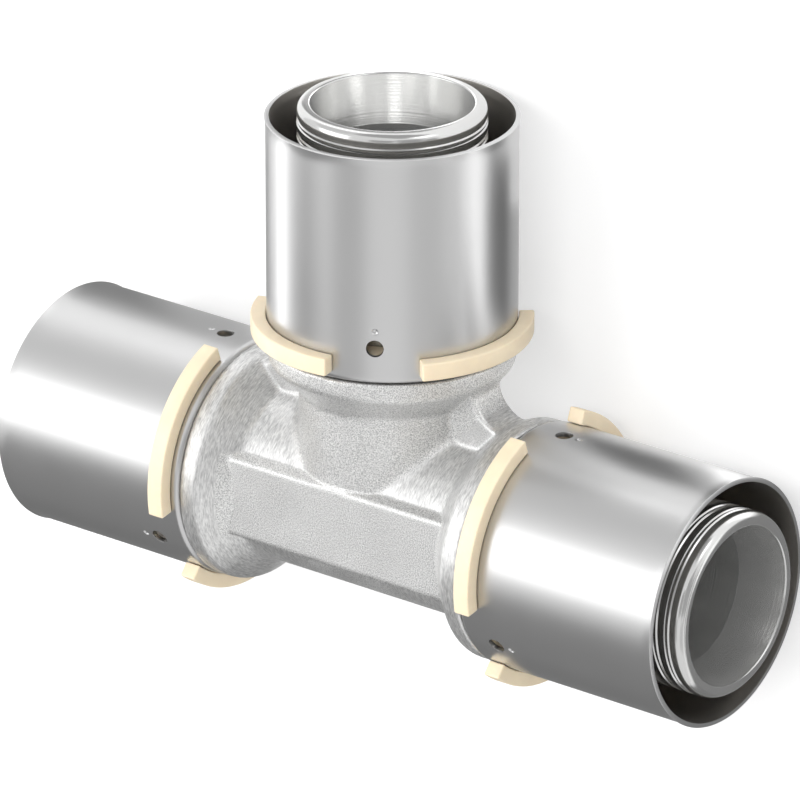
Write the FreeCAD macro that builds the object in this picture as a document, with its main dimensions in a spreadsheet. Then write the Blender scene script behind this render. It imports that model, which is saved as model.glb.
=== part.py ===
"""Equal press-fit tee for multilayer composite pipe: a forged brass body with three machined
spigots, each with two O-rings, a stop ring, a stainless press sleeve and three stop clips.

Millimetres. The tee lies on its side: the run is along X, the branch points along +Y, +Z is up,
and the three arm axes cross at the origin.
"""
import math
import os
import re

import FreeCAD
import Part
import Sketcher

doc = FreeCAD.newDocument("press_fit_tee")

# Driving dimensions. A name ending in "radius" is a radius about the arm's axis, one ending in "at"
# is a distance along the arm from the crossing of the axes, and the rest are lengths between things.

SIZES = {
    # pipe that the tee joins
    "pipe_outer_radius": 25.0,
    "pipe_wall": 4.5,
    # forged body
    "neck_inset": 0.15,
    "flare_angle": 45.0,
    "flare_foot_round": 2.5,
    "flare_crown_round": 1.8,
    "collar_inset": 0.3,
    "collar_width": 3.95,
    "collar_chamfer": 0.35,
    "collar_reach": 10.8,
    "branch_blend": 2.5,
    "pad_rise": 0.37,
    "pad_width": 17.8,
    "pad_chamfer": 0.3,
    "web_thickness": 9.6,
    "web_inset": 1.4,
    "web_chamfer": 0.6,
    # machined spigots and waterway
    "spigot_clearance": 0.45,
    "spigot_wall": 4.65,
    "spigot_proud": 3.9,
    "nose_round": 1.9,
    "nose_land": 0.85,
    "entry_depth": 11.6,
    "barb_back": 3.3,
    "barb_pitch": 3.0,
    "barb_length": 1.5,
    "barb_depth": 0.6,
    "barb_count": 2.0,
    "outer_seal_back": 16.8,
    "inner_seal_back": 33.3,
    # O-rings
    "seal_section": 2.8,
    "seal_squeeze": 0.45,
    "seal_side_clearance": 0.4,
    # press sleeve
    "sleeve_wall": 1.0,
    "sleeve_clearance": 0.6,
    "sleeve_gap": 0.3,
    "sleeve_length": 50.0,
    "sleeve_lip": 1.9,
    "sleeve_end_round": 1.3,
    "sight_hole_radius": 1.88,
    "sight_hole_ahead": 2.05,
    # stop ring and stop clips
    "stop_flange_width": 5.0,
    "stop_hub_clearance": 0.15,
    "clip_ahead": 2.75,
    "clip_width": 3.9,
    "clip_thickness": 3.27,
    "clip_sweep": 80.0,
    "clip_standoff": 0.13,
    "tongue_width": 1.8,
    "tongue_sweep": 30.0,
    "slot_clearance": 0.1,
}

# Sizes that follow from the driving ones.

FORMULAS = {
    "pipe_bore_radius": "pipe_outer_radius - pipe_wall",
    "spigot_radius": "pipe_bore_radius - spigot_clearance",
    "sleeve_inner_radius": "pipe_outer_radius + sleeve_clearance",
    "sleeve_outer_radius": "sleeve_inner_radius + sleeve_wall",
    "sleeve_lip_radius": "sleeve_inner_radius - sleeve_lip",
    "neck_radius": "spigot_radius - neck_inset",
    "collar_radius": "sleeve_outer_radius - collar_inset",
    "collar_face_at": "collar_radius + collar_reach",
    "flare_crown_at": "collar_face_at - collar_width",
    "flare_foot_at": "flare_crown_at - (collar_radius - neck_radius) / tan(flare_angle)",
    "flare_foot_setback": "flare_foot_round * tan(flare_angle / 2)",
    "flare_crown_setback": "flare_crown_round * tan(flare_angle / 2)",
    "pad_height": "neck_radius + pad_rise",
    "pad_end_at": "(flare_crown_at + flare_foot_at) / 2",
    "web_reach": "collar_radius - web_inset",
    "web_hollow_radius": "flare_crown_at - web_reach",
    "sleeve_end_at": "collar_face_at + sleeve_gap",
    "sleeve_mouth_at": "sleeve_end_at + sleeve_length",
    "spigot_end_at": "sleeve_mouth_at + spigot_proud",
    "nose_step": "nose_round * tan(30) / (1 + tan(30))",
    "bore_radius": "spigot_radius - spigot_wall",
    "entry_radius": "spigot_radius - nose_round - nose_land",
    "entry_step_at": "spigot_end_at - entry_depth",
    "barb_at": "spigot_end_at - barb_back",
    "outer_seal_at": "spigot_end_at - outer_seal_back",
    "inner_seal_at": "spigot_end_at - inner_seal_back",
    "seal_top_radius": "pipe_bore_radius + seal_squeeze",
    "seal_floor_radius": "seal_top_radius - seal_section",
    "seal_groove_width": "seal_section + 2 * seal_side_clearance",
    "end_step": "sleeve_end_round * tan(30) / (1 + tan(30))",
    "stop_shoulder_at": "sleeve_end_at + sleeve_wall",
    "stop_face_at": "stop_shoulder_at + stop_flange_width",
    "sight_hole_at": "stop_face_at + sight_hole_ahead",
    "clip_at": "stop_shoulder_at + clip_ahead",
    "clip_inner_radius": "sleeve_outer_radius + clip_standoff",
    "clip_outer_radius": "clip_inner_radius + clip_thickness",
    "slot_width": "tongue_width + 2 * slot_clearance",
    "slot_sweep": "tongue_sweep + 2 * slot_clearance / sleeve_inner_radius * 180 / pi",
}

ARMS = 3
CLIPS = 3

sheet = doc.addObject("Spreadsheet::Sheet", "Sizes")
for row, (name, value) in enumerate(SIZES.items(), start=1):
    sheet.set(f"A{row}", name)
    sheet.set(f"B{row}", str(value))
    sheet.setAlias(f"B{row}", name)
doc.recompute()


def cells(formula):
    """The formula with the names of sizes written as cells of the sheet."""

    def word(found):
        if found[0] in SIZES:
            return f"Sizes.{found[0]}"
        if found[0] in FORMULAS:
            return f"({cells(FORMULAS[found[0]])})"
        return found[0]

    return re.sub(r"[a-z][a-z_]*", word, formula)


def size(formula):
    """The number that a formula of sizes gives."""
    answer = sheet.evalExpression(cells(formula))
    return float(getattr(answer, "Value", answer))


def bind(thing, **formulas):
    """Tie properties of the object to formulas of sizes."""
    for prop, formula in formulas.items():
        thing.setExpression(prop, cells(formula))


def near(number, formula):
    return abs(number - size(formula)) < 0.02


# Sketches and features

def new_body(label):
    body = doc.addObject("PartDesign::Body", "".join(word.title() for word in label.split("_")))
    body.Label = label
    return body


def datum(body, role):
    """An origin plane or axis of the body."""
    return next(feature for feature in body.Origin.OriginFeatures if feature.Role == role)


def sketch_on(body, name, plane):
    sketch = body.newObject("Sketcher::SketchObject", name)
    sketch.AttachmentSupport = [(datum(body, plane), "")]
    sketch.MapMode = "FlatFace"
    return sketch


def fix_point(sketch, geometry, point, x, y):
    """Dimensions that hold one point of a sketch at (x, y), both formulas."""
    for kind, formula in (("DistanceX", x), ("DistanceY", y)):
        index = sketch.addConstraint(Sketcher.Constraint(kind, -1, 1, geometry, point, size(formula)))
        sketch.setExpression(f"Constraints[{index}]", cells(formula))


def outline(sketch, corners):
    """A closed outline through corners (x, y). A third entry, if any, is the radius of the hollow arc
    that joins a corner to the next, bulging to the left of the way from one to the other."""
    points = [FreeCAD.Vector(size(corner[0]), size(corner[1]), 0) for corner in corners]
    first = sketch.GeometryCount
    ends = []
    for start, end, corner in zip(points, points[1:] + points[:1], corners):
        if len(corner) == 2:
            sketch.addGeometry(Part.LineSegment(start, end), False)
            ends.append((1, 2))
        else:
            radius = size(corner[2])
            half = (end - start) * 0.5
            left = FreeCAD.Vector(-half.y, half.x, 0).normalize()
            rise = radius - math.sqrt(max(radius**2 - half.Length**2, 0))
            sketch.addGeometry(Part.Arc(start, start + half + left * rise, end), False)
            ends.append((2, 1))
    for step, corner in enumerate(corners):
        here = first + step
        after = first + (step + 1) % len(corners)
        joint = Sketcher.Constraint(
            "Coincident", here, ends[step][1], after, ends[(step + 1) % len(corners)][0]
        )
        sketch.addConstraint(joint)
        fix_point(sketch, here, ends[step][0], corner[0], corner[1])
        if len(corner) == 3:
            index = sketch.addConstraint(Sketcher.Constraint("Radius", here, size(corner[2])))
            sketch.setExpression(f"Constraints[{index}]", cells(corner[2]))


def box_outline(low_x, low_y, high_x, high_y):
    return [(low_x, low_y), (high_x, low_y), (high_x, high_y), (low_x, high_y)]


def disc(sketch, x, y, radius):
    """A circle of the sketch."""
    centre = FreeCAD.Vector(size(x), size(y), 0)
    index = sketch.addGeometry(Part.Circle(centre, FreeCAD.Vector(0, 0, 1), size(radius)), False)
    fix_point(sketch, index, 3, x, y)
    dimension = sketch.addConstraint(Sketcher.Constraint("Radius", index, size(radius)))
    sketch.setExpression(f"Constraints[{dimension}]", cells(radius))


def turned(body, name, kind, sketch, axis, sweep=None):
    """A form turned about an axis of its sketch: a full turn, or a sweep centred on the sketch."""
    feature = body.newObject(f"PartDesign::{kind}", name)
    feature.Profile = sketch
    feature.ReferenceAxis = (sketch, [axis])
    if sweep:
        feature.Midplane = True
        bind(feature, Angle=sweep)
    doc.recompute()
    return feature


def padded(body, name, sketch, length):
    """A form drawn out to both sides of its sketch."""
    feature = body.newObject("PartDesign::Pad", name)
    feature.Profile = sketch
    feature.Midplane = True
    bind(feature, Length=length)
    doc.recompute()


def round_the_axis(body, name, features, axis, copies, angle=360.0):
    """Copies of features spread about an axis of the body."""
    pattern = body.newObject("PartDesign::PolarPattern", name)
    pattern.Originals = features
    pattern.Axis = (datum(body, axis), [""])
    pattern.Angle = angle
    pattern.Occurrences = copies
    body.Tip = pattern
    doc.recompute()


def eased(body, name, kind, radius, wanted):
    """Fillet or chamfer the edges of the body whose middle point passes the test."""
    base = body.Tip
    names = []
    for number, edge in enumerate(base.Shape.Edges, start=1):
        if wanted(edge.valueAt((edge.FirstParameter + edge.LastParameter) / 2)):
            names.append(f"Edge{number}")
    if not names:
        raise RuntimeError(f"{body.Label} {name}: no edge to ease")
    feature = body.newObject(f"PartDesign::{kind}", name)
    feature.Base = (base, names)
    bind(feature, **{"Radius" if kind == "Fillet" else "Size": radius})
    doc.recompute()


# Tee body

def arm_outline():
    """Half section of one arm along +X, solid to its axis, from the crossing to the spigot's nose."""
    return [
        ("0", "0"),
        ("0", "neck_radius"),
        ("flare_foot_at - flare_foot_setback", "neck_radius"),
        ("flare_foot_at + flare_foot_setback * cos(flare_angle)",
         "neck_radius + flare_foot_setback * sin(flare_angle)"),
        ("flare_crown_at - flare_crown_setback * cos(flare_angle)",
         "collar_radius - flare_crown_setback * sin(flare_angle)"),
        ("flare_crown_at + flare_crown_setback", "collar_radius"),
        ("collar_face_at - collar_chamfer", "collar_radius"),
        ("collar_face_at", "collar_radius - collar_chamfer"),
        ("collar_face_at", "spigot_radius"),
        ("spigot_end_at - nose_round", "spigot_radius"),
        ("spigot_end_at - nose_step", "spigot_radius - nose_step"),
        ("spigot_end_at", "spigot_radius - nose_round"),
        ("spigot_end_at", "0"),
    ]


def make_tee_body():
    body = new_body("tee_body")
    arm_sketch = sketch_on(body, "ArmSection", "XY_Plane")
    outline(arm_sketch, arm_outline())
    arm = turned(body, "Arm", "Revolution", arm_sketch, "H_Axis")
    round_the_axis(body, "Arms", [arm], "Z_Axis", ARMS, 180.0)

    web_sketch = sketch_on(body, "WebOutline", "XY_Plane")
    outline(web_sketch, [
        ("-flare_crown_at", "0"),
        ("flare_crown_at", "0"),
        ("flare_crown_at", "web_reach", "web_hollow_radius"),
        ("web_reach", "flare_crown_at"),
        ("-web_reach", "flare_crown_at", "web_hollow_radius"),
        ("-flare_crown_at", "web_reach"),
    ])
    padded(body, "Webs", web_sketch, "web_thickness")

    pad_sketch = sketch_on(body, "PadOutline", "XY_Plane")
    outline(pad_sketch, box_outline("-pad_end_at", "-pad_width / 2", "pad_end_at", "pad_width / 2"))
    padded(body, "Pads", pad_sketch, "2 * pad_height")

    def neck_seam(middle):
        return near(abs(middle.x) - middle.y, "0") and near(math.hypot(middle.y, middle.z), "neck_radius")

    def web_rim(middle):
        from_hollow = math.hypot(abs(middle.x) - size("flare_crown_at"), middle.y - size("flare_crown_at"))
        return near(from_hollow, "web_hollow_radius") and near(abs(middle.z), "web_thickness / 2")

    def pad_side(middle):
        return near(abs(middle.y), "pad_width / 2") and near(abs(middle.z), "pad_height")

    eased(body, "BranchBlend", "Fillet", "branch_blend", neck_seam)
    eased(body, "WebRims", "Chamfer", "web_chamfer", web_rim)
    eased(body, "PadSides", "Chamfer", "pad_chamfer", pad_side)

    seal_sketch = sketch_on(body, "SealGrooveSections", "XY_Plane")
    for at in ("outer_seal_at", "inner_seal_at"):
        outline(seal_sketch, box_outline(
            f"{at} - seal_groove_width / 2", "seal_floor_radius",
            f"{at} + seal_groove_width / 2", "pipe_outer_radius",
        ))
    seal_grooves = turned(body, "SealGroove", "Groove", seal_sketch, "H_Axis")

    barb_sketch = sketch_on(body, "BarbSections", "XY_Plane")
    for tooth in range(int(SIZES["barb_count"])):
        end = f"(barb_at - {tooth} * barb_pitch)"
        outline(barb_sketch, [
            (end, "spigot_radius - barb_depth"),
            (end, "pipe_outer_radius"),
            (f"{end} - barb_length", "pipe_outer_radius"),
            (f"{end} - barb_length", "spigot_radius"),
        ])
    barbs = turned(body, "Barb", "Groove", barb_sketch, "H_Axis")

    water_sketch = sketch_on(body, "WaterwaySection", "XY_Plane")
    outline(water_sketch, [
        ("0", "0"),
        ("0", "bore_radius"),
        ("entry_step_at", "bore_radius"),
        ("spigot_end_at", "entry_radius"),
        ("spigot_end_at", "0"),
    ])
    waterway = turned(body, "Waterway", "Groove", water_sketch, "H_Axis")
    round_the_axis(body, "ArmCuts", [seal_grooves, barbs, waterway], "Z_Axis", ARMS, 180.0)
    return body


# Pieces on an arm. Each is drawn about its own Z axis, which is the arm's axis pointing outward.

ARM_FRAMES = {
    "right": (FreeCAD.Vector(0, 0, 1), FreeCAD.Vector(1, 0, 0), 30.0),
    "left": (FreeCAD.Vector(0, 0, 1), FreeCAD.Vector(-1, 0, 0), 210.0),
    "branch": (FreeCAD.Vector(0, 0, 1), FreeCAD.Vector(0, 1, 0), 30.0),
}


def seat(body, arm, turn=0.0):
    """Place a piece drawn about its Z axis on an arm, turned about that axis."""
    across, outward, spin = ARM_FRAMES[arm]
    frame = FreeCAD.Rotation(across, FreeCAD.Vector(), outward, "ZXY")
    about = FreeCAD.Rotation(FreeCAD.Vector(0, 0, 1), spin + turn)
    body.Placement = FreeCAD.Placement(FreeCAD.Vector(), frame.multiply(about))


def make_sleeve(arm):
    body = new_body(f"{arm}_sleeve")
    wall = sketch_on(body, "WallSection", "XZ_Plane")
    outline(wall, [
        ("sleeve_lip_radius", "sleeve_end_at"),
        ("sleeve_outer_radius - sleeve_end_round", "sleeve_end_at"),
        ("sleeve_outer_radius - end_step", "sleeve_end_at + end_step"),
        ("sleeve_outer_radius", "sleeve_end_at + sleeve_end_round"),
        ("sleeve_outer_radius", "sleeve_mouth_at"),
        ("sleeve_inner_radius", "sleeve_mouth_at"),
        ("sleeve_inner_radius", "stop_shoulder_at"),
        ("sleeve_lip_radius", "stop_shoulder_at"),
    ])
    turned(body, "Wall", "Revolution", wall, "V_Axis")

    hole_sketch = sketch_on(body, "SightHoleCircle", "YZ_Plane")
    disc(hole_sketch, "0", "sight_hole_at", "sight_hole_radius")
    hole = body.newObject("PartDesign::Pocket", "SightHole")
    hole.Profile = hole_sketch
    hole.Reversed = True
    bind(hole, Length="clip_outer_radius")
    doc.recompute()
    round_the_axis(body, "SightHoles", [hole], "Z_Axis", CLIPS)

    slot_sketch = sketch_on(body, "SlotSection", "XZ_Plane")
    outline(slot_sketch, box_outline(
        "-clip_outer_radius", "clip_at - slot_width / 2",
        "-sleeve_lip_radius", "clip_at + slot_width / 2",
    ))
    slot = turned(body, "Slot", "Groove", slot_sketch, "V_Axis", "slot_sweep")
    round_the_axis(body, "Slots", [slot], "Z_Axis", CLIPS)
    seat(body, arm)
    return body


def make_stop_ring(arm):
    body = new_body(f"{arm}_stop_ring")
    section = sketch_on(body, "RingSection", "XZ_Plane")
    outline(section, [
        ("spigot_radius", "collar_face_at"),
        ("sleeve_lip_radius - stop_hub_clearance", "collar_face_at"),
        ("sleeve_lip_radius - stop_hub_clearance", "stop_shoulder_at"),
        ("sleeve_inner_radius", "stop_shoulder_at"),
        ("sleeve_inner_radius", "stop_face_at"),
        ("spigot_radius", "stop_face_at"),
    ])
    turned(body, "Ring", "Revolution", section, "V_Axis")
    seat(body, arm)
    return body


def make_clip(arm, number):
    body = new_body(f"{arm}_clip_{number + 1}")
    arc_sketch = sketch_on(body, "ArcSection", "XZ_Plane")
    outline(arc_sketch, box_outline(
        "-clip_outer_radius", "clip_at - clip_width / 2", "-clip_inner_radius", "clip_at + clip_width / 2"
    ))
    turned(body, "Arc", "Revolution", arc_sketch, "V_Axis", "clip_sweep")
    tongue_sketch = sketch_on(body, "TongueSection", "XZ_Plane")
    outline(tongue_sketch, box_outline(
        "-clip_inner_radius - clip_standoff", "clip_at - tongue_width / 2",
        "-sleeve_inner_radius", "clip_at + tongue_width / 2",
    ))
    turned(body, "Tongue", "Revolution", tongue_sketch, "V_Axis", "tongue_sweep")
    seat(body, arm, 360.0 / CLIPS * number)
    return body


def make_seal(arm, which):
    body = new_body(f"{arm}_{which}_seal")
    at = f"{which}_seal_at"
    section = sketch_on(body, "RingSection", "XZ_Plane")
    outline(section, box_outline(
        "seal_floor_radius", f"{at} - seal_section / 2", "seal_top_radius", f"{at} + seal_section / 2"
    ))
    turned(body, "Ring", "Revolution", section, "V_Axis")
    seat(body, arm)
    return body


pieces = [make_tee_body()]
for arm in ARM_FRAMES:
    pieces.append(make_sleeve(arm))
    pieces.append(make_stop_ring(arm))
    pieces.extend(make_clip(arm, number) for number in range(CLIPS))
    pieces.extend(make_seal(arm, which) for which in ("outer", "inner"))
doc.recompute()

for thing in doc.Objects:
    if {"Invalid", "Error"} & set(thing.State):
        raise RuntimeError(f"{thing.Name} ({thing.Label}) is {thing.State}")
for piece in pieces:
    if piece.Shape.isNull() or not piece.Shape.isValid() or len(piece.Shape.Solids) != 1:
        raise RuntimeError(f"{piece.Label} isn't one sound solid")

os.makedirs("parts", exist_ok=True)
for piece in pieces:
    piece.Shape.exportStep(f"parts/{piece.Label}.step")
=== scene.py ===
import itertools
import math

import bpy
import numpy as np
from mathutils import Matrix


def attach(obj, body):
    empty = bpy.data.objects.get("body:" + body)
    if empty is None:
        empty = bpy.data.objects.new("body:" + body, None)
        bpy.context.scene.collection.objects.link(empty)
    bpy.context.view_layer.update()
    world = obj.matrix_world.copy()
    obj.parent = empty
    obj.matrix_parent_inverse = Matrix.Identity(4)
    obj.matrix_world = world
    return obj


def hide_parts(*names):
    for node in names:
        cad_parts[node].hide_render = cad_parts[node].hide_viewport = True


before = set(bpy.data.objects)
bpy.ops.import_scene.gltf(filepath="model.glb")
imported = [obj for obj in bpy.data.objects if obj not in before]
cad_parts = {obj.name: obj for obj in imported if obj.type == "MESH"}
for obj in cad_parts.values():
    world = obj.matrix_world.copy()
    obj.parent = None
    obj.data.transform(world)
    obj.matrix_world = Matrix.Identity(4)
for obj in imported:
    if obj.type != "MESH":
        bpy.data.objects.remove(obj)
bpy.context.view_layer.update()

import openvdb
from mathutils import Matrix, Vector

# Forged body.
# A brass forging, tin plated and sand blasted: three necks that flare to collars, webs in the two
# corners by the branch and a flat pad on each side. It is drawn as one solid with rolled corners.

MM = 0.001
NECK = 19.9
COLLAR = 26.3
COLLAR_FACE = 37.1
COLLAR_WIDTH = 3.95
WATERWAY = 15.4
WEB_HALF = 4.8
WEB_SET_IN = 1.4
PAD_HALF = 8.9
PAD_SLOPE = 0.24
PAD_FACE = 20.27
PAD_REACH = 30.0

CROWN_ROUND = 2.6
FOOT_ROUND = 2.5
CORNER_ROUND = 3.2
RIM_ROUND = 0.35
WEB_ROUND, WEB_FOOT_ROUND = 0.6, 1.0
PAD_ROUND, PAD_FOOT_ROUND = 0.35, 0.3
CROWN_AT = COLLAR_FACE - COLLAR_WIDTH
COSINE_45 = 0.7071


def joined(first, second, radius, cosine=0.0):
    """Two distance fields as one solid whose inner corner is filled with a round of that radius.
    Cosine is that of the angle between the two surfaces' normals. With p and q the shortfalls
    of the fields from the radius, the round's middle lies sqrt(p2 + q2 - 2 p q cosine) / sine
    away."""
    p, q = np.maximum(radius - first, 0), np.maximum(radius - second, 0)
    sine = np.sqrt(np.maximum(1 - cosine**2, 1e-4))
    away = np.sqrt(np.maximum(p**2 + q**2 - 2 * p * q * cosine, 0)) / sine
    between = (p > cosine * q) & (q > cosine * p)
    return np.where(between, radius - away, np.minimum(first, second))


def common(first, second, radius, cosine=0.0):
    """What two distance fields share, its outer corner rounded: joined with inside and outside
    changed over."""
    return -joined(-first, -second, radius, cosine)


def flared_arm(along, across):
    """Distance to one arm: a neck, a 45 degree flare from it and a collar cut off at its face."""
    foot = CROWN_AT - (COLLAR - NECK)
    cone = (across - NECK - (along - foot)) / math.sqrt(2)
    crown = common(cone, across - COLLAR, CROWN_ROUND, COSINE_45)
    flare = np.maximum(common(crown, along - COLLAR_FACE, RIM_ROUND), foot - 6.0 - along)
    neck = np.maximum(across - NECK, along - COLLAR_FACE + 1.0)
    return joined(neck, flare, FOOT_ROUND, COSINE_45)


def two_arms(x, y, z):
    """Distances to the run's arms and to the branch's arm."""
    run = flared_arm(np.abs(x), np.hypot(y, z))
    branch = flared_arm(np.where(y > 0, y, 0), np.hypot(x, z))
    return run, branch


def forged_body(x, y, z):
    """Distance to the forging in millimetres: run and branch arms joined with a round, then the
    webs, hollowed from the middle of their corner, and the pads with their sloped sides, less the
    waterway. Where the arms meet, the cosine between them is z2 over the product of the radii."""
    run, branch = two_arms(x, y, z)
    across_both = np.maximum(np.hypot(y, z) * np.hypot(x, z), 1e-6)
    meet = np.clip(z**2 / across_both, 0, 0.999)
    body = joined(run, np.maximum(branch, -y), CORNER_ROUND, meet)

    hollow = CROWN_AT - (COLLAR - WEB_SET_IN)
    corner = hollow - np.hypot(np.abs(x) - CROWN_AT, y - CROWN_AT)
    sheet = np.maximum(np.maximum(np.abs(x) - CROWN_AT, y - CROWN_AT), -y)
    web = common(np.maximum(corner, sheet), np.abs(z) - WEB_HALF, WEB_ROUND)
    body = joined(body, web, WEB_FOOT_ROUND)

    below = PAD_FACE - np.abs(z)
    side = (np.abs(y) - PAD_HALF - PAD_SLOPE * below) / math.hypot(1, PAD_SLOPE)
    pad = np.maximum(common(side, -below, PAD_ROUND), np.abs(x) - PAD_REACH)
    body = joined(body, pad, PAD_FOOT_ROUND, 0.5)

    run_bore = np.hypot(y, z) - WATERWAY
    branch_bore = np.maximum(np.hypot(x, z) - WATERWAY, -y)
    return np.maximum(body, -np.minimum(run_bore, branch_bore))


def object_from(name, points, faces):
    """A smooth object at the origin, from points in millimetres and a list of faces, each a list
    of point numbers."""
    mesh = bpy.data.meshes.new(name)
    mesh.from_pydata((points * MM).tolist(), [], faces)
    mesh.polygons.foreach_set("use_smooth", np.ones(len(mesh.polygons), bool))
    mesh.update()
    made = bpy.data.objects.new(name, mesh)
    bpy.context.collection.objects.link(made)
    return made


def solid_from_distance(name, distance, low, high, cell):
    """The surface where a distance function is zero. It is read off a grid of cells, and then each
    point is moved twice along the slope of the distance by the distance that is left."""
    axes = [np.arange(a, b + cell, cell) for a, b in zip(low, high)]
    field = distance(*np.meshgrid(*axes, indexing="ij"))
    grid = openvdb.FloatGrid()
    grid.copyFromArray(field.astype(np.float32))
    points, quads = grid.convertToQuads(0.0)
    points = np.asarray(points, float) * cell + np.array(low)
    nudge = 0.01
    for _ in range(2):
        rises = [distance(*(points + way).T) - distance(*(points - way).T)
                 for way in nudge * np.eye(3)]
        slope = np.stack(rises, axis=1) / (2 * nudge)
        steep = np.maximum((slope**2).sum(1), 0.25)
        step = np.clip(distance(*points.T) / steep, -cell, cell)
        points = points - slope * step[:, None]
    corners = points[np.asarray(quads)]
    middle = corners.mean(1)
    outward = (np.cross(corners[:, 2] - corners[:, 0], corners[:, 3] - corners[:, 1])
               * (middle - points.mean(0))).sum()
    order = np.asarray(quads) if outward > 0 else np.asarray(quads)[:, ::-1]
    return object_from(name, points, order.tolist())


def node_of(material, kind, **settings):
    """A new node of a material, with its properties and the values of its named inputs set."""
    node = material.node_tree.nodes.new(kind)
    for key, value in settings.items():
        if hasattr(node, key):
            setattr(node, key, value)
        else:
            node.inputs[key.replace("_", " ")].default_value = value
    return node


def wire(material, start, output, end, entry):
    """A link from one node's output to another's input."""
    material.node_tree.links.new(start.outputs[output], end.inputs[entry])


def new_material(name, colour, roughness, metallic):
    """A material with a Principled shader and that shader. Colour and roughness are plain ones."""
    material = bpy.data.materials.new(name)
    material.use_nodes = True
    shader = material.node_tree.nodes["Principled BSDF"]
    shader.inputs["Base Color"].default_value = (*colour, 1)
    shader.inputs["Metallic"].default_value = metallic
    shader.inputs["Roughness"].default_value = roughness
    return material, shader


def noise_over(material, **settings):
    """A noise over the object's own coordinates."""
    place = node_of(material, "ShaderNodeTexCoord")
    noise = node_of(material, "ShaderNodeTexNoise", **settings)
    wire(material, place, "Object", noise, "Vector")
    return noise


def lift_by(material, shader, noise, strength, distance):
    """Fine relief on the surface that follows a noise, no higher than the distance in metres."""
    bump = node_of(material, "ShaderNodeBump", Strength=strength, Distance=distance)
    wire(material, noise, "Fac", bump, "Height")
    wire(material, bump, "Normal", shader, "Normal")


def cloud_gloss(material, shader, noise, smooth, rough, low=0.0, high=1.0):
    """Roughness from smooth to rough as a noise goes from low to high."""
    gloss = node_of(material, "ShaderNodeMapRange", From_Min=low, From_Max=high,
                    To_Min=smooth, To_Max=rough)
    wire(material, noise, "Fac", gloss, "Value")
    wire(material, gloss, "Result", shader, "Roughness")


def two_tones(material, shader, source, output, first, second):
    """Base colour that goes from one tone to another as a value does, each given as its place and
    its colour."""
    shade = node_of(material, "ShaderNodeValToRGB")
    for element, (position, colour) in zip(shade.color_ramp.elements, (first, second)):
        element.position = position
        element.color = (*colour, 1)
    wire(material, source, output, shade, "Fac")
    wire(material, shade, "Color", shader, "Base Color")


def round_the_run(material):
    """Noise drawn out round the run's axis: over length along it, distance from it and angle
    round it, fine in the first two and long in the last."""
    place = node_of(material, "ShaderNodeTexCoord")
    apart = node_of(material, "ShaderNodeSeparateXYZ")
    wire(material, place, "Object", apart, "Vector")
    flat = node_of(material, "ShaderNodeCombineXYZ")
    out = node_of(material, "ShaderNodeVectorMath", operation="LENGTH")
    turn = node_of(material, "ShaderNodeMath", operation="ARCTAN2")
    for entry, way in enumerate("YZ"):
        wire(material, apart, way, flat, way)
        wire(material, apart, way, turn, entry)
    wire(material, flat, "Vector", out, "Vector")
    round_axis = node_of(material, "ShaderNodeCombineXYZ")
    wire(material, apart, "X", round_axis, "X")
    wire(material, out, "Value", round_axis, "Y")
    wire(material, turn, "Value", round_axis, "Z")
    drawn_out = node_of(material, "ShaderNodeMapping", Scale=(3600.0, 3600.0, 16.0))
    wire(material, round_axis, "Vector", drawn_out, "Vector")
    marks = node_of(material, "ShaderNodeTexNoise", Scale=1.0, Detail=2.0, Roughness=0.6)
    wire(material, drawn_out, "Vector", marks, "Vector")
    return marks


def blasted_tin():
    """Tin plate over a sand blasted forging. Fine grain lies all over; where the point attribute
    dressed is 1, round the run, softer and shorter marks that run round the run's axis take its
    place. Both lift the surface and lighten it, and faint clouds change its gloss."""
    material, shader = new_material("blasted tin", (0.80, 0.80, 0.79), 0.45, 0.9)
    grain = noise_over(material, Scale=3800.0, Detail=2.0, Roughness=0.7)
    marks = node_of(material, "ShaderNodeMapRange", To_Min=0.26, To_Max=0.7)
    wire(material, round_the_run(material), "Fac", marks, "Value")
    dressed = node_of(material, "ShaderNodeAttribute", attribute_name="dressed")
    both = node_of(material, "ShaderNodeMix", data_type="FLOAT")
    wire(material, dressed, "Fac", both, 0)
    wire(material, grain, "Fac", both, 2)
    wire(material, marks, "Result", both, 3)

    strength = node_of(material, "ShaderNodeMapRange", To_Min=0.8, To_Max=0.3)
    wire(material, dressed, "Fac", strength, "Value")
    bump = node_of(material, "ShaderNodeBump", Distance=0.0001)
    wire(material, strength, "Result", bump, "Strength")
    wire(material, both, 0, bump, "Height")
    wire(material, bump, "Normal", shader, "Normal")

    two_tones(material, shader, both, 0, (0.37, (0.45, 0.45, 0.45)), (0.6, (0.94, 0.94, 0.93)))
    clouds = noise_over(material, Scale=160.0, Detail=4.0, Roughness=0.6)
    cloud_gloss(material, shader, clouds, 0.38, 0.5, 0.35, 0.65)
    return material


def dressed_share(x, y, z):
    """How far a point lies on the dressed run, from 0 to 1: nearer to the run's arm than to the
    branch's, and off the pads and their sides."""
    run, branch = two_arms(x, y, z)
    on_pad = (np.abs(y) < PAD_HALF + 0.85) & (np.abs(x) < PAD_REACH) & (np.abs(z) > 17.4)
    return np.where(on_pad, 0.0, np.clip((branch - run) / 0.7, 0, 1))


low, high = (-38.0, -27.5, -27.5), (38.0, 38.0, 27.5)
body = solid_from_distance("forged_body", forged_body, low, high, cell=0.59)
body.data.materials.append(blasted_tin())
places = np.empty(3 * len(body.data.vertices))
body.data.vertices.foreach_get("co", places)
share = dressed_share(*(places.reshape(-1, 3) / MM).T)
body.data.attributes.new("dressed", "FLOAT", "POINT").data.foreach_set("value", share)
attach(body, "root")
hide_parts("tee_body")

# Machined spigots.
# The ends of the forging, turned bright to fit the pipe's bore: barbs behind a rounded nose, two
# grooves for the O-rings, and a mouth that widens so that water enters without a step.

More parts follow.
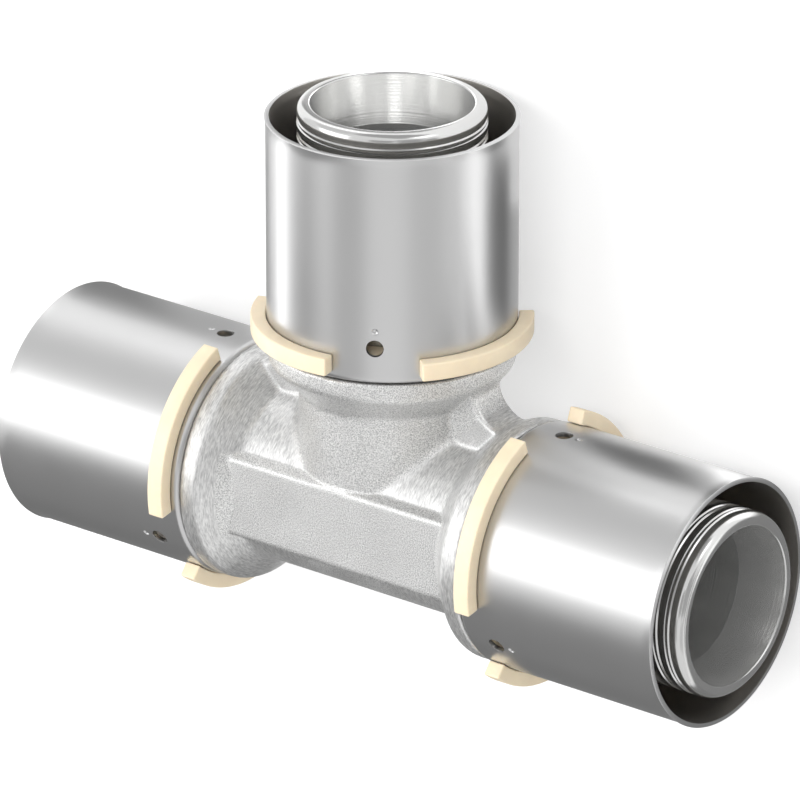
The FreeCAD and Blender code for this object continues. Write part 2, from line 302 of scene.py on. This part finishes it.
SPIGOT = 20.05
SPIGOT_END = 90.5
NOSE_ROUND = 1.9
SEALS_AT = (74.5, 58.0)
SEAL_FLOOR = 18.15
TURNS = 168
BORE_ROWS = 2
ARMS = {
    "right": {"out": (1, 0, 0), "side": (0, -1, 0), "spin": 30.0},
    "left": {"out": (-1, 0, 0), "side": (0, 1, 0), "spin": 210.0},
    "branch": {"out": (0, 1, 0), "side": (1, 0, 0), "spin": 30.0},
}
UP = (0, 0, 1)


def on_arm(arm, angle, along, across):
    """Points of an arm: so far along its axis, and so far across it at an angle in radians that
    starts at straight up and turns to the arm's side."""
    out, side, up = (np.array(v, float) for v in (ARMS[arm]["out"], ARMS[arm]["side"], UP))
    along, across, angle = np.broadcast_arrays(along, across, angle)
    return (along[..., None] * out + (across * np.cos(angle))[..., None] * up
            + (across * np.sin(angle))[..., None] * side)


def quarter(centre, radius, start, end, steps=8):
    """An arc of a profile, as rows of (along, across), from one angle in degrees to another."""
    turn = np.radians(np.linspace(start, end, steps))
    return np.stack([centre[0] + radius * np.cos(turn), centre[1] + radius * np.sin(turn)], axis=1)


def grid_faces(rows, columns, rows_close, columns_close):
    """Quads over a grid of points, wrapped round either way where it closes on itself."""
    down, across = rows - (not rows_close), columns - (not columns_close)
    i, j = np.meshgrid(np.arange(down), np.arange(across), indexing="ij")
    below, right = (i + 1) % rows, (j + 1) % columns
    quads = [i * columns + j, below * columns + j, below * columns + right, i * columns + right]
    return np.stack([quad.ravel() for quad in quads], axis=1)


def turned_piece(name, arm, profile, segments=TURNS, crease=8):
    """A ring turned about an arm. The profile is a closed loop of (along, across) that goes round
    the metal anticlockwise, and the length along it is kept on the points as profile_mm. Corners
    of more degrees than the crease stay sharp."""
    profile = np.asarray(profile, float)
    angle = np.linspace(0, 2 * np.pi, segments, endpoint=False)
    points = on_arm(arm, angle[None, :], profile[:, :1], profile[:, 1:])
    faces = grid_faces(len(profile), segments, True, True)[:, ::-1]
    piece = object_from(name, points.reshape(-1, 3), faces.tolist())
    piece.data.set_sharp_from_angle(angle=math.radians(crease))
    steps = np.hypot(*np.diff(profile, axis=0).T)
    length = np.repeat(np.concatenate([[0.0], np.cumsum(steps)]), segments)
    piece.data.attributes.new("profile_mm", "FLOAT", "POINT").data.foreach_set("value", length)
    return piece


def barbs(first, count, pitch):
    """Pairs of teeth from the nose towards the body, as (along, across): each pair is two hooked
    grooves with a sharp ridge between them and a flat land behind."""
    steps = [(0.0, 0.0), (0.03, -0.36), (0.72, -0.3), (1.02, -0.04), (1.16, -0.04), (1.22, -0.36),
             (1.72, -0.3), (1.92, 0.0)]
    teeth = [[(first - tooth * pitch - back, SPIGOT + drop) for back, drop in steps]
             for tooth in range(count)]
    return np.concatenate(teeth)


def square_groove(at, width, floor):
    """A groove from its nose side to its body side, as (along, across), with broken edges."""
    edge = 0.15
    low, high = at - width / 2, at + width / 2
    return np.array([(high + edge, SPIGOT), (high, SPIGOT - edge), (high, floor), (low, floor),
                     (low, SPIGOT - edge), (low - edge, SPIGOT)])


def spigot_profile():
    """The spigot's section: out through the bore and the widening mouth, round the nose, and back
    over barbs and grooves to the collar's face. Its first rows are those of the bore."""
    bore = [(COLLAR_FACE, WATERWAY), (79.7, WATERWAY), (SPIGOT_END - 0.4, 17.25)]
    mouth = quarter((SPIGOT_END - 0.4, 17.65), 0.4, -85, 0, 16)
    nose = quarter((SPIGOT_END - NOSE_ROUND, SPIGOT - NOSE_ROUND), NOSE_ROUND, 0, 90, 18)
    outside = [barbs(88.0, 3, 3.0)] + [square_groove(at, 3.6, SEAL_FLOOR) for at in SEALS_AT]
    return np.concatenate([bore, mouth, nose, *outside, [(COLLAR_FACE, SPIGOT)]])


def turned_tin(name, grey, metallic):
    """Bright turned metal: fine tool marks that follow the profile, and a slightly uneven
    gloss."""
    material, shader = new_material(name, (grey, grey, 0.99 * grey), 0.3, metallic)
    along = node_of(material, "ShaderNodeAttribute", attribute_name="profile_mm")
    marks = node_of(material, "ShaderNodeTexNoise", noise_dimensions="1D", Scale=2.2, Detail=1.0)
    wire(material, along, "Fac", marks, "W")
    lift_by(material, shader, marks, 0.2, 0.00004)
    patches = noise_over(material, Scale=90.0, Detail=3.0)
    cloud_gloss(material, shader, patches, 0.13, 0.21)
    return material


tin = turned_tin("turned tin", 0.62, 0.92)
# The bore and its widening mouth get their own lighter grey, 0.85 against the outside's 0.62, and
# a little less metal.
lighter_bore = turned_tin("lighter bore", 0.85, 0.86)
section = spigot_profile()
for arm in ARMS:
    spigot = turned_piece(f"{arm}_spigot", arm, section)
    spigot.data.materials.append(tin)
    spigot.data.materials.append(lighter_bore)
    in_bore = np.repeat(np.arange(len(section)) < BORE_ROWS, TURNS)
    spigot.data.polygons.foreach_set("material_index", in_bore.astype(np.int32))
    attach(spigot, "root")
    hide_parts("tee_body")

# O-rings.
# Black EPDM rings that sit in the spigots' grooves and stand a little proud, moulded round, with a
# dull skin that carries a trace of grease.

SEAL_THICK = 2.8


def seal_rubber():
    """Black rubber with a fine dull grain."""
    material, shader = new_material("seal rubber", (0.02, 0.02, 0.021), 0.45, 0.0)
    lift_by(material, shader, noise_over(material, Scale=3000.0, Detail=2.0), 0.3, 0.00003)
    return material


rubber = seal_rubber()
for arm in ARMS:
    for which, at in zip(("outer", "inner"), SEALS_AT):
        section = quarter((at, SEAL_FLOOR + SEAL_THICK / 2), SEAL_THICK / 2, 0, 345, 24)
        seal = turned_piece(f"{arm}_{which}_o_ring", arm, section, 144, 40)
        seal.data.materials.append(rubber)
        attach(seal, "root")
        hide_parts(f"{arm}_{which}_seal")

# Stop rings.
# Cream plastic bushes on the root of each spigot, moulded in one: a hub that carries the sleeve's
# lip and a flange that stops the pipe. They show in the gap between sleeve and collar.

SLEEVE_END = 37.4
SLEEVE_BORE = 25.6
CREAM = (0.96, 0.81, 0.59)


def cream_plastic():
    """Moulded plastic, slightly see-through, with a fine satin grain and a little cloudiness."""
    material, shader = new_material("cream plastic", CREAM, 0.42, 0.0)
    shader.inputs["Subsurface Weight"].default_value = 0.15
    shader.inputs["Subsurface Radius"].default_value = (1.0, 0.7, 0.4)
    shader.inputs["Subsurface Scale"].default_value = 0.0015
    darker, lighter = (tuple(share * c for c in CREAM) for share in (0.96, 1.03))
    clouds = noise_over(material, Scale=220.0, Detail=3.0)
    two_tones(material, shader, clouds, "Fac", (0.3, darker), (0.7, lighter))
    lift_by(material, shader, noise_over(material, Scale=2200.0, Detail=2.0), 0.25, 0.00003)
    return material


def stop_ring_profile():
    """Section of the stop ring as (along, across): bore, flange with broken edges, and hub."""
    edge = 0.3
    low, shoulder, face = COLLAR_FACE, SLEEVE_END + 1.0, SLEEVE_END + 6.0
    hub, bore, rim = 23.55, SPIGOT, SLEEVE_BORE
    return [(low, bore), (face - edge, bore), (face, bore + edge), (face, rim - edge),
            (face - edge, rim), (shoulder, rim), (shoulder, hub), (low + edge, hub),
            (low, hub - edge)]


cream = cream_plastic()
for arm in ARMS:
    ring = turned_piece(f"{arm}_stop_bush", arm, stop_ring_profile())
    ring.data.materials.append(cream)
    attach(ring, "root")
    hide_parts(f"{arm}_stop_ring")

# Press sleeves.
# Drawn stainless steel tube, 1 mm thick: the inner end is turned in to a lip over the stop ring,
# the mouth is rolled out a little, and by each sight hole a small mark is punched.

SLEEVE = 26.6
SLEEVE_MOUTH = 87.4
SLEEVE_WALL = 1.0
SLEEVE_TURNS = 240
HOLE_AT, HOLE_RADIUS, HOLE_CELLS = 45.45, 1.88, 8
MARK_AT, MARK_RADIUS, MARK_CELLS = 49.27, 0.7, 4
WINDOW_HALF = 2.45

# Rings that fill each window, from its edge inwards, as (share, radius, depth), and the depth of
# the point that closes it.
HOLE_RINGS = [(0.5, HOLE_RADIUS, 0.0), (0.9, HOLE_RADIUS, 0.0), (1.0, HOLE_RADIUS, 0.0)]
MARK_RINGS = [(0.6, MARK_RADIUS, 0.0), (1.0, MARK_RADIUS, 0.02), (1.0, 0.75 * MARK_RADIUS, 0.25),
              (1.0, 0.35 * MARK_RADIUS, 0.34)]
WINDOWS = [(HOLE_AT, HOLE_CELLS, HOLE_RINGS, None), (MARK_AT, MARK_CELLS, MARK_RINGS, 0.36)]


def sleeve_profile():
    """Outer face of the sleeve as (along, across), from the lip over the turned end to the mouth,
    with close rows where the sight holes and marks are."""
    lip = [(SLEEVE_END, 23.75), (SLEEVE_END, 24.4)]
    turn = quarter((SLEEVE_END + 1.3, SLEEVE - 1.3), 1.3, 180, 90, 9)
    hole = np.linspace(HOLE_AT - WINDOW_HALF, HOLE_AT + WINDOW_HALF, HOLE_CELLS + 1)
    mark = np.linspace(hole[-1], 2 * MARK_AT - hole[-1], MARK_CELLS + 1)
    plain = np.linspace(mark[-1] + 2.5, SLEEVE_MOUTH - 3.0, 14)
    rows = np.concatenate([[39.8, 41.2, 42.2], hole, mark[1:], plain])
    straight = np.stack([rows, np.full(len(rows), SLEEVE)], axis=1)
    back = np.array([2.0, 1.4, 0.9, 0.5, 0.2, 0.0])
    rise = 0.24 * (1 - back / 2.0) ** 1.5
    mouth = np.stack([SLEEVE_MOUTH - back, SLEEVE + rise], axis=1)
    return np.concatenate([lip, turn, straight, mouth])


def window_ring(half_turn, half_along, share, radius, cells):
    """A ring of points between a square window and a circle round its middle, as (turn, along): at
    share 0 it lies on the window's edge and at share 1 on the circle, both at the same angles.
    Cells is the number of points on each side."""
    steps = np.linspace(-1, 1, cells + 1)[:-1]
    one = np.ones(cells)
    square = np.concatenate([np.stack([steps, -one], 1), np.stack([one, steps], 1),
                             np.stack([-steps, one], 1), np.stack([-one, -steps], 1)])
    turn = np.arctan2(square[:, 1], square[:, 0])
    circle = np.stack([np.cos(turn), np.sin(turn)], axis=1)
    return (1 - share) * square * (half_turn, half_along) + share * radius * circle


def window_border(row, column, half):
    """Numbers of the sleeve's grid points round a window, in the order of window_ring."""
    side, far = np.arange(-half, half), np.full(2 * half, half)
    rows = row + np.concatenate([-far, side, far, -side])
    columns = column + np.concatenate([side, far, -side, -far])
    return rows * SLEEVE_TURNS + columns % SLEEVE_TURNS


def ring_faces(first, second):
    """Quads between two rings of point numbers, or triangles where the second is one point."""
    second = np.broadcast_to(second, first.shape)
    quads = np.stack([first, np.roll(first, -1), np.roll(second, -1), second], axis=1)
    return [list(dict.fromkeys(quad)) for quad in quads.tolist()]


def press_sleeve(name, arm):
    """The sleeve's outer face as a grid of turn and profile. Each window of cells is taken out and
    filled again with rings: round an open sight hole, or down into a punched mark."""
    profile = sleeve_profile()
    rows = len(profile)
    cell = 2 * np.pi / SLEEVE_TURNS
    turn = cell * np.arange(SLEEVE_TURNS)
    points = [on_arm(arm, turn[None, :], profile[:, :1], profile[:, 1:]).reshape(-1, 3)]
    count = rows * SLEEVE_TURNS
    keep = np.ones((rows - 1, SLEEVE_TURNS), bool)
    patches = []
    for third, (at, cells, rings, bottom) in itertools.product(range(3), WINDOWS):
        half = cells // 2
        half_turn = half * cell * SLEEVE
        middle = int(round((ARMS[arm]["spin"] + 120 * third) / 360 * SLEEVE_TURNS))
        row = int(np.argmin(np.abs(profile[:, 0] - at) + 100 * (profile[:, 1] < SLEEVE - 0.01)))
        keep[row - half:row + half, np.arange(middle - half, middle + half) % SLEEVE_TURNS] = False
        half_along = profile[row + half, 0] - at
        before = window_border(row, middle, half)
        for share, radius, depth in rings:
            ring = window_ring(half_turn, half_along, share, radius, cells)
            angle = middle * cell + ring[:, 0] / SLEEVE
            points.append(on_arm(arm, angle, at + ring[:, 1], SLEEVE - depth))
            now = count + np.arange(len(ring))
            patches += ring_faces(before, now)
            before, count = now, count + len(ring)
        if bottom is not None:
            points.append(on_arm(arm, middle * cell, at, SLEEVE - bottom)[None, :])
            patches += ring_faces(before, count)
            count += 1
    quads = grid_faces(rows, SLEEVE_TURNS, False, True)[keep.ravel()][:, ::-1]
    sleeve = object_from(name, np.concatenate(points), quads.tolist() + patches)
    wall = sleeve.modifiers.new("wall", "SOLIDIFY")
    wall.thickness = SLEEVE_WALL * MM
    wall.offset = -1
    wall.use_even_offset = True
    wall.material_offset = 1
    rim = sleeve.modifiers.new("rim", "BEVEL")
    rim.width = 0.14 * MM
    rim.segments = 3
    rim.limit_method = "ANGLE"
    rim.angle_limit = math.radians(50)
    return sleeve


def drawn_steel(name, colour, smooth, rough, metallic):
    """Stainless tube, cleaned after drawing: a fine grain, and a gloss that clouds between smooth
    and rough."""
    material, shader = new_material(name, colour, smooth, metallic)
    clouds = noise_over(material, Scale=70.0, Detail=5.0, Roughness=0.6)
    cloud_gloss(material, shader, clouds, smooth, rough)
    lift_by(material, shader, noise_over(material, Scale=1500.0, Detail=3.0), 0.12, 0.00003)
    return material


steel = drawn_steel("drawn steel", (0.60, 0.60, 0.60), 0.28, 0.35, 1.0)
# The inside face's warm tint, (0.60, 0.575, 0.54) against the outside's even grey, is a painted
# warm reflection of the cream plastic.
steel_inside_warm_reflection = drawn_steel("drawn steel inside, painted warm reflection", (0.60, 0.575, 0.54), 0.28, 0.36, 0.94)
for arm in ARMS:
    sleeve = press_sleeve(f"{arm}_press_sleeve", arm)
    sleeve.data.materials.append(steel)
    sleeve.data.materials.append(steel_inside_warm_reflection)
    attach(sleeve, "root")
    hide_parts(f"{arm}_sleeve")

# Stop clips.
# Arcs of the same cream plastic outside each sleeve, three to a sleeve, that keep it from sliding
# until it is pressed. They are moulded with small rounds on all their edges.

CLIP_AT = 41.15
CLIP_WIDTH = 3.9
CLIP_INSIDE, CLIP_OUTSIDE = 26.73, 30.0
CLIP_SWEEP = 80.0
CLIP_ROUND = 0.35


def rounded_box_loop(width, height, radius, steps=5):
    """A rectangle with rounded corners round the origin, as rows of (x, y), anticlockwise."""
    corners = [(1, 1, 0), (-1, 1, 90), (-1, -1, 180), (1, -1, 270)]
    x, y = width / 2 - radius, height / 2 - radius
    return np.concatenate([quarter((sx * x, sy * y), radius, start, start + 90, steps)
                           for sx, sy, start in corners])


def stop_clip(name, arm, middle):
    """A rounded box section carried round the arm. Its two ends draw in by a quarter round, and a
    point in the middle of each end closes them."""
    half = math.radians(CLIP_SWEEP / 2)
    centre = (CLIP_INSIDE + CLIP_OUTSIDE) / 2
    height = CLIP_OUTSIDE - CLIP_INSIDE
    bend = np.radians(np.linspace(0, 90, 6))
    start = CLIP_ROUND * (1 - np.sin(bend))
    drawn_in = np.concatenate([start, np.zeros(36), start[::-1]])
    ends = CLIP_ROUND * (1 - np.cos(bend)) / centre
    straight = 0.985 * np.linspace(-half, half, 38)[1:-1]
    turn = np.concatenate([-half + ends, straight, half - ends[::-1]])
    loops = np.stack([
        rounded_box_loop(CLIP_WIDTH - 2 * d, height - 2 * d, CLIP_ROUND + 0.01 - 0.9 * d)
        for d in drawn_in
    ])
    angle = math.radians(middle) + turn[:, None]
    points = on_arm(arm, angle, CLIP_AT + loops[..., 0], centre + loops[..., 1])
    rows, columns = points.shape[:2]
    tips = on_arm(arm, angle[[0, -1], 0], CLIP_AT, centre)
    first = np.arange(columns)
    last = first[::-1] + (rows - 1) * columns
    faces = grid_faces(rows, columns, False, True).tolist()
    faces += ring_faces(first, rows * columns) + ring_faces(last, rows * columns + 1)
    return object_from(name, np.concatenate([points.reshape(-1, 3), tips]), faces)


for arm in ARMS:
    for number in range(3):
        middle = ARMS[arm]["spin"] + 180 + 120 * number
        clip = stop_clip(f"{arm}_stop_clip_{number + 1}", arm, middle)
        clip.data.materials.append(cream)
        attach(clip, "root")
        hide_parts(f"{arm}_clip_{number + 1}")

# Camera.
# A long lens that looks at the tee from its front, with the branch up in the picture.

TURN, LIFT = math.radians(37.889), math.radians(22.894)
TARGET = Vector((0.00131, 0.02491, 0.0))
DISTANCE = 1.6419

back = Vector((math.sin(TURN) * math.cos(LIFT), math.sin(LIFT), math.cos(TURN) * math.cos(LIFT)))
right = Vector((math.cos(TURN), 0, -math.sin(TURN)))
camera = bpy.data.objects.new("camera", bpy.data.cameras.new("camera"))
bpy.context.collection.objects.link(camera)
axes = Matrix((right, back.cross(right), back)).transposed().to_4x4()
camera.matrix_world = Matrix.Translation(TARGET + back * DISTANCE) @ axes
camera.data.lens = 348.8
camera.data.clip_end = 20
camera.data.shift_x = 0.0034
camera.data.shift_y = -0.0097
bpy.context.scene.camera = camera

# Studio.
# A white floor under the tee, a white surround, soft boxes whose long reflections lie on the
# sleeves, and glowing boards between them that only the reflections show: painted reflections,
# dark, grey and bright, that set the bands of light and shade on the metal.

FLOOR = -0.030


def straight_rays(tree):
    """A value that is 1 on camera, glossy and transmission rays and 0 on all others."""
    rays = tree.nodes.new("ShaderNodeLightPath")
    value = rays.outputs["Is Camera Ray"]
    for kind in ("Is Glossy Ray", "Is Transmission Ray"):
        larger = tree.nodes.new("ShaderNodeMath")
        larger.operation = "MAXIMUM"
        tree.links.new(value, larger.inputs[0])
        tree.links.new(rays.outputs[kind], larger.inputs[1])
        value = larger.outputs[0]
    return value


def white_seen(tree, plain, share):
    """The plain shader, and on straight rays a white glow of that share added to it."""
    strength = tree.nodes.new("ShaderNodeMath")
    strength.operation = "MULTIPLY"
    strength.inputs[1].default_value = share
    tree.links.new(straight_rays(tree), strength.inputs[0])
    glow = tree.nodes.new("ShaderNodeEmission")
    tree.links.new(strength.outputs[0], glow.inputs["Strength"])
    total = tree.nodes.new("ShaderNodeAddShader")
    tree.links.new(plain.outputs[0], total.inputs[0])
    tree.links.new(glow.outputs[0], total.inputs[1])
    return total


REACH = 8.0
floor_mesh = bpy.data.meshes.new("floor")
corners = [(-REACH, -REACH, FLOOR), (REACH, -REACH, FLOOR), (REACH, REACH, FLOOR),
           (-REACH, REACH, FLOOR)]
floor_mesh.from_pydata(corners, [], [(0, 1, 2, 3)])
floor = bpy.data.objects.new("floor", floor_mesh)
bpy.context.collection.objects.link(floor)
paper = bpy.data.materials.new("white paper")
paper.use_nodes = True
paper.node_tree.nodes.remove(paper.node_tree.nodes["Principled BSDF"])
matt = paper.node_tree.nodes.new("ShaderNodeBsdfDiffuse")
matt.inputs["Color"].default_value = (0.7, 0.7, 0.7, 1)
white = white_seen(paper.node_tree, matt, 0.42)
paper_end = paper.node_tree.nodes["Material Output"]
paper.node_tree.links.new(white.outputs[0], paper_end.inputs["Surface"])
floor_mesh.materials.append(paper)

world = bpy.data.worlds.new("studio")
world.use_nodes = True
bpy.context.scene.world = world
sky = world.node_tree.nodes["Background"]
sky.inputs["Color"].default_value = (1, 1, 1, 1)
level = world.node_tree.nodes.new("ShaderNodeMapRange")
level.inputs["To Min"].default_value = 0.76
level.inputs["To Max"].default_value = 1.0
world.node_tree.links.new(straight_rays(world.node_tree), level.inputs["Value"])
world.node_tree.links.new(level.outputs["Result"], sky.inputs["Strength"])


def aimed(direction, axis, distance):
    """A place so far off in a direction, turned to face the tee, its width along an axis."""
    away = Vector(direction).normalized()
    width = (Vector(axis) - Vector(axis).dot(away) * away).normalized()
    turned = Matrix((width, away.cross(width), away)).transposed().to_4x4()
    return Matrix.Translation(away * distance) @ turned


def on_floor(x, y, layer=0):
    """A place flat on the floor. A board on a higher layer covers those on lower ones."""
    return Matrix.Translation((x, y, FLOOR + 0.0008 + 0.0002 * layer))


def soft_box(name, direction, axis, width, height, glow, distance=1.0, reflected=True):
    """A rectangular lamp that faces the tee, its power worked out from how bright it looks."""
    lamp = bpy.data.lights.new(name, "AREA")
    lamp.shape = "RECTANGLE"
    lamp.size, lamp.size_y = width, height
    lamp.energy = math.pi * glow * width * height
    made = bpy.data.objects.new(name, lamp)
    made.matrix_world = aimed(direction, axis, distance)
    made.visible_glossy = reflected
    bpy.context.collection.objects.link(made)


def reflection_board(name, place, width, height, glow, soft):
    """A glowing sheet that only reflections show, a painted reflection of one even strength, dark,
    grey or brighter than white, that fades out at its edges: the fade is the product of two ramps,
    one across the width and one across the height."""
    mesh = bpy.data.meshes.new(name)
    mesh.from_pydata([(-1, -1, 0), (1, -1, 0), (1, 1, 0), (-1, 1, 0)], [], [(0, 1, 2, 3)])
    made = bpy.data.objects.new(name, mesh)
    made.matrix_world = place @ Matrix.Diagonal((width / 2, height / 2, 1, 1))
    bpy.context.collection.objects.link(made)
    material = bpy.data.materials.new(name)
    material.use_nodes = True
    tree = material.node_tree
    tree.nodes.remove(tree.nodes["Principled BSDF"])
    where = tree.nodes.new("ShaderNodeTexCoord")
    apart = tree.nodes.new("ShaderNodeSeparateXYZ")
    tree.links.new(where.outputs["Object"], apart.inputs["Vector"])
    both = tree.nodes.new("ShaderNodeMath")
    both.operation = "MULTIPLY"
    for entry, way in enumerate("XY"):
        size = tree.nodes.new("ShaderNodeMath")
        size.operation = "ABSOLUTE"
        tree.links.new(apart.outputs[way], size.inputs[0])
        ramp = tree.nodes.new("ShaderNodeMapRange")
        ramp.interpolation_type = "SMOOTHSTEP"
        ramp.inputs["From Min"].default_value = 1.0
        ramp.inputs["From Max"].default_value = 1.0 - soft
        tree.links.new(size.outputs[0], ramp.inputs["Value"])
        tree.links.new(ramp.outputs["Result"], both.inputs[entry])
    grey = tree.nodes.new("ShaderNodeEmission")
    grey.inputs["Strength"].default_value = glow
    clear = tree.nodes.new("ShaderNodeBsdfTransparent")
    mix = tree.nodes.new("ShaderNodeMixShader")
    tree.links.new(both.outputs[0], mix.inputs["Fac"])
    tree.links.new(clear.outputs[0], mix.inputs[1])
    tree.links.new(grey.outputs[0], mix.inputs[2])
    tree.links.new(mix.outputs[0], tree.nodes["Material Output"].inputs["Surface"])
    mesh.materials.append(material)
    made.visible_camera = False
    made.visible_diffuse = False
    made.visible_shadow = False
    made.visible_transmission = False


RUN, BRANCH = (1, 0, 0), (0, 1, 0)

soft_box("key soft box", (-0.566, 0.20, 0.80), RUN, 0.7, 0.62, 1.8)
soft_box("side soft box", (-0.92, -0.389, 0.10), BRANCH, 0.5, 0.42, 1.6)
soft_box("front lamp", (-0.45, 0.25, 0.86), RUN, 1.4, 1.4, 1.25, 2.0, reflected=False)
soft_box("mouth lamp", (0.37, 0.44, 0.82), RUN, 0.6, 0.14, 10.0, reflected=False)

# Painted reflections: glowing boards seen only in the metal, the dark and grey ones painted shade
# and the bright ones painted light.
reflection_board("dark front", aimed((-0.566, -0.80, 0.20), RUN, 0.8), 1.0, 1.75, 0.27, 0.25)
reflection_board("grey behind", aimed((-0.566, 0.753, 0.335), RUN, 0.9), 0.6, 0.45, 0.8, 0.4)
reflection_board("grey middle", aimed((-0.03, -0.3, 0.94), BRANCH, 0.85), 0.5, 0.6, 0.56, 0.5)
reflection_board("grey right", aimed((0.848, -0.389, 0.36), BRANCH, 0.85), 0.4, 0.5, 0.72, 0.4)
reflection_board("grey right high", aimed((0.82, 0.22, 0.5), BRANCH, 0.9), 0.75, 0.55, 0.45, 0.35)
reflection_board("bright right", aimed((0.52, 0.85, -0.02), BRANCH, 0.45), 0.4, 0.35, 2.4, 0.4)
reflection_board("dark floor front", on_floor(-0.35, -0.53), 1.1, 1.0, 0.22, 0.08)
reflection_board("grey right low", aimed((1.0, 0.02, 0.08), BRANCH, 0.9), 0.5, 0.4, 0.45, 0.35)
reflection_board("grey high", aimed((0.42, 0.2, 0.88), BRANCH, 0.95), 0.55, 0.55, 0.45, 0.4)
reflection_board("grey top", aimed((0.16, 0.98, 0.12), RUN, 0.36), 0.34, 0.3, 0.45, 0.35)
reflection_board("grey floor corner", on_floor(0.045, 0.047), 0.07, 0.036, 0.56, 0.3)
reflection_board("dark floor right", on_floor(0.043, 0.054, 1), 0.034, 0.052, 0.17, 0.45)
reflection_board("grey floor right", on_floor(0.116, -0.022, 1), 0.11, 0.11, 0.27, 0.25)
reflection_board("bright floor right", on_floor(0.086, 0.045, 2), 0.05, 0.05, 1.9, 0.35)
reflection_board("bright floor far right", on_floor(0.168, 0.016, 2), 0.07, 0.07, 1.7, 0.35)
reflection_board("grey floor far right", on_floor(0.27, -0.03), 0.18, 0.14, 0.42, 0.3)
reflection_board("grey floor left", on_floor(-0.09, 0.04), 0.08, 0.07, 0.58, 0.35)
reflection_board("grey floor behind", on_floor(-0.125, 0.016, 1), 0.1, 0.08, 0.3, 0.4)
reflection_board("bright floor far behind", on_floor(-0.14, 0.33), 0.16, 0.24, 3.0, 0.3)
reflection_board("bright floor top", on_floor(-0.02, 0.1), 0.034, 0.02, 3.0, 0.4)
reflection_board("grey floor top", on_floor(-0.04, 0.13, 1), 0.08, 0.05, 0.42, 0.2)

bpy.context.scene.view_settings.view_transform = "Standard"
